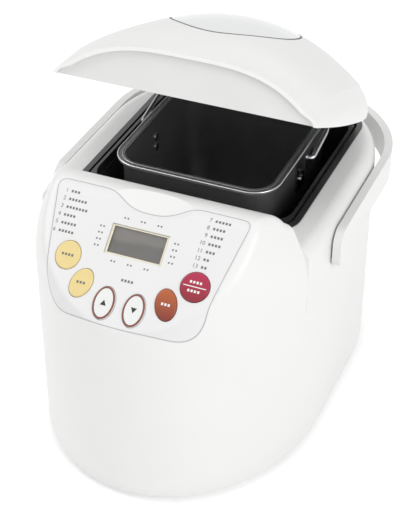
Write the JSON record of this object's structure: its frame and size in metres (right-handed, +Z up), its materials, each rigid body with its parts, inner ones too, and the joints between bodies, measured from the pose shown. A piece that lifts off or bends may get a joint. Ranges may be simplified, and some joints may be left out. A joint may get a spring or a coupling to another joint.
{
  "type": "bread machine",
  "caption": "Home bread machine with an oval-fronted body, sloped button panel, domed window lid part-way open, folded carry handle and a lift-out pan with bail and kneading blade.",
  "frame": {"origin": "on the floor under the middle of the machine's overall box", "axes": "+X to the machine's right, -Y out of the front, +Z up"},
  "size_m": [0.241, 0.3595, 0.3152],
  "materials": {
    "white_plastic": "moulded, satin gloss",
    "pale_rubber": "moulded",
    "grey_overlay": "printed sheet",
    "grey_plastic": "moulded, fine grain",
    "window_plastic": "pale tint, polished",
    "black_rubber": "moulded",
    "display_glass": "clear pane",
    "display_module": "warm grey display",
    "yellow_plastic": "moulded",
    "pale_plastic": "moulded",
    "orange_plastic": "moulded",
    "red_plastic": "moulded",
    "circuit_board": "solder mask",
    "dark_plastic": "moulded, heat resistant",
    "chamber_steel": "dark oven coating",
    "pan_coating": "non-stick coating",
    "cast_aluminium": "die cast",
    "sheet_aluminium": "rolled sheet",
    "steel": "drawn",
    "zinc_steel": "zinc plated sheet",
    "brass": "sintered",
    "motor_iron": "laminated",
    "pulley_plastic": "moulded"
  },
  "bodies": {
    "housing": {"body_shell": "white_plastic", "base_plate": "white_plastic", "feet": "pale_rubber", "top_deck": "white_plastic", "control_panel": "white_plastic", "panel_overlay": "grey_overlay", "display_window": "display_glass", "lcd_module": "display_module", "control_board": "circuit_board", "chamber_liner": "chamber_steel", "chamber_flange": "dark_plastic", "heater_element": "steel", "heater_clips": "steel", "temperature_sensor": "steel", "pan_seat": "cast_aluminium", "chassis_frame": "zinc_steel", "bearing_housing": "cast_aluminium", "motor": "motor_iron", "motor_bracket": "zinc_steel", "motor_capacitor": "dark_plastic", "power_board": "circuit_board", "cord_gland": "dark_plastic", "handle_pivots": "steel", "lid_hinge_pins": "steel", "base_screws": "steel", "drive_belt": "black_rubber"},
    "lid": {"lid_shell": "white_plastic", "lid_frame": "grey_plastic", "lid_liner": "sheet_aluminium", "lid_window": "window_plastic", "window_gasket": "black_rubber", "inner_pane": "display_glass"},
    "handle": {"carry_handle": "white_plastic"},
    "pan": {"bread_pan": "pan_coating", "pan_foot": "cast_aluminium", "pan_brackets": "steel", "pan_rivets": "steel", "pan_bush": "brass"},
    "bail": {"pan_bail": "steel"},
    "blade": {"kneading_blade": "pan_coating", "pan_shaft": "steel", "pan_coupling": "cast_aluminium", "shaft_clip": "steel"},
    "drive": {"drive_shaft": "steel", "drive_coupling": "cast_aluminium", "drive_pulley": "pulley_plastic"},
    "motor_rotor": {"motor_shaft": "steel", "motor_pulley": "pulley_plastic"},
    "menu_key": {"menu_button": "yellow_plastic"},
    "size_key": {"size_button": "yellow_plastic"},
    "timer_up_key": {"timer_up_button": "pale_plastic"},
    "timer_down_key": {"timer_down_button": "pale_plastic"},
    "crust_key": {"crust_button": "orange_plastic"},
    "start_key": {"start_button": "red_plastic"}
  },
  "joints": [
    {"name": "lid_hinge", "type": "hinge", "parent": "housing", "child": "lid", "pos_m": [0, 0.1405, 0.2005], "axis": [-1, 0, 0], "range_deg": [-24, 56]},
    {"name": "handle_pivot", "type": "hinge", "parent": "housing", "child": "handle", "pos_m": [0, -0.031, 0.163], "axis": [1, 0, 0], "range_deg": [0, 90]},
    {"name": "pan_twist", "type": "hinge", "parent": "housing", "child": "pan", "pos_m": [0, 0.028, 0.1], "axis": [0, 0, 1], "range_deg": [0, 15]},
    {"name": "bail_pivot", "type": "hinge", "parent": "pan", "child": "bail", "pos_m": [0, 0.028, 0.204], "axis": [1, 0, 0], "range_deg": [0, 153]},
    {"name": "drive_spin", "type": "hinge", "parent": "housing", "child": "drive", "pos_m": [0, 0.028, 0.05], "axis": [0, 0, 1], "continuous": true},
    {"name": "blade_spin", "type": "hinge", "parent": "pan", "child": "blade", "pos_m": [0, 0.028, 0.09], "axis": [0, 0, 1], "continuous": true},
    {"name": "motor_spin", "type": "hinge", "parent": "housing", "child": "motor_rotor", "pos_m": [0, -0.108, 0.05], "axis": [0, 0, 1], "continuous": true},
    {"name": "menu_press", "type": "slide", "parent": "housing", "child": "menu_key", "axis": [0, 0.6561, -0.7547], "range_m": [0, 0.0008], "stiffness_N_per_m": 400},
    {"name": "size_press", "type": "slide", "parent": "housing", "child": "size_key", "axis": [0, 0.6561, -0.7547], "range_m": [0, 0.0008], "stiffness_N_per_m": 400},
    {"name": "timer_up_press", "type": "slide", "parent": "housing", "child": "timer_up_key", "axis": [0, 0.6561, -0.7547], "range_m": [0, 0.0008], "stiffness_N_per_m": 400},
    {"name": "timer_down_press", "type": "slide", "parent": "housing", "child": "timer_down_key", "axis": [0, 0.6561, -0.7547], "range_m": [0, 0.0008], "stiffness_N_per_m": 400},
    {"name": "crust_press", "type": "slide", "parent": "housing", "child": "crust_key", "axis": [0, 0.6561, -0.7547], "range_m": [0, 0.0008], "stiffness_N_per_m": 400},
    {"name": "start_press", "type": "slide", "parent": "housing", "child": "start_key", "axis": [0, 0.6561, -0.7547], "range_m": [0, 0.0008], "stiffness_N_per_m": 400}
  ],
  "couplings": [
    {"joint": "blade_spin", "follows": "drive_spin", "ratio": 1},
    {"joint": "motor_spin", "follows": "drive_spin", "ratio": 5}
  ]
}
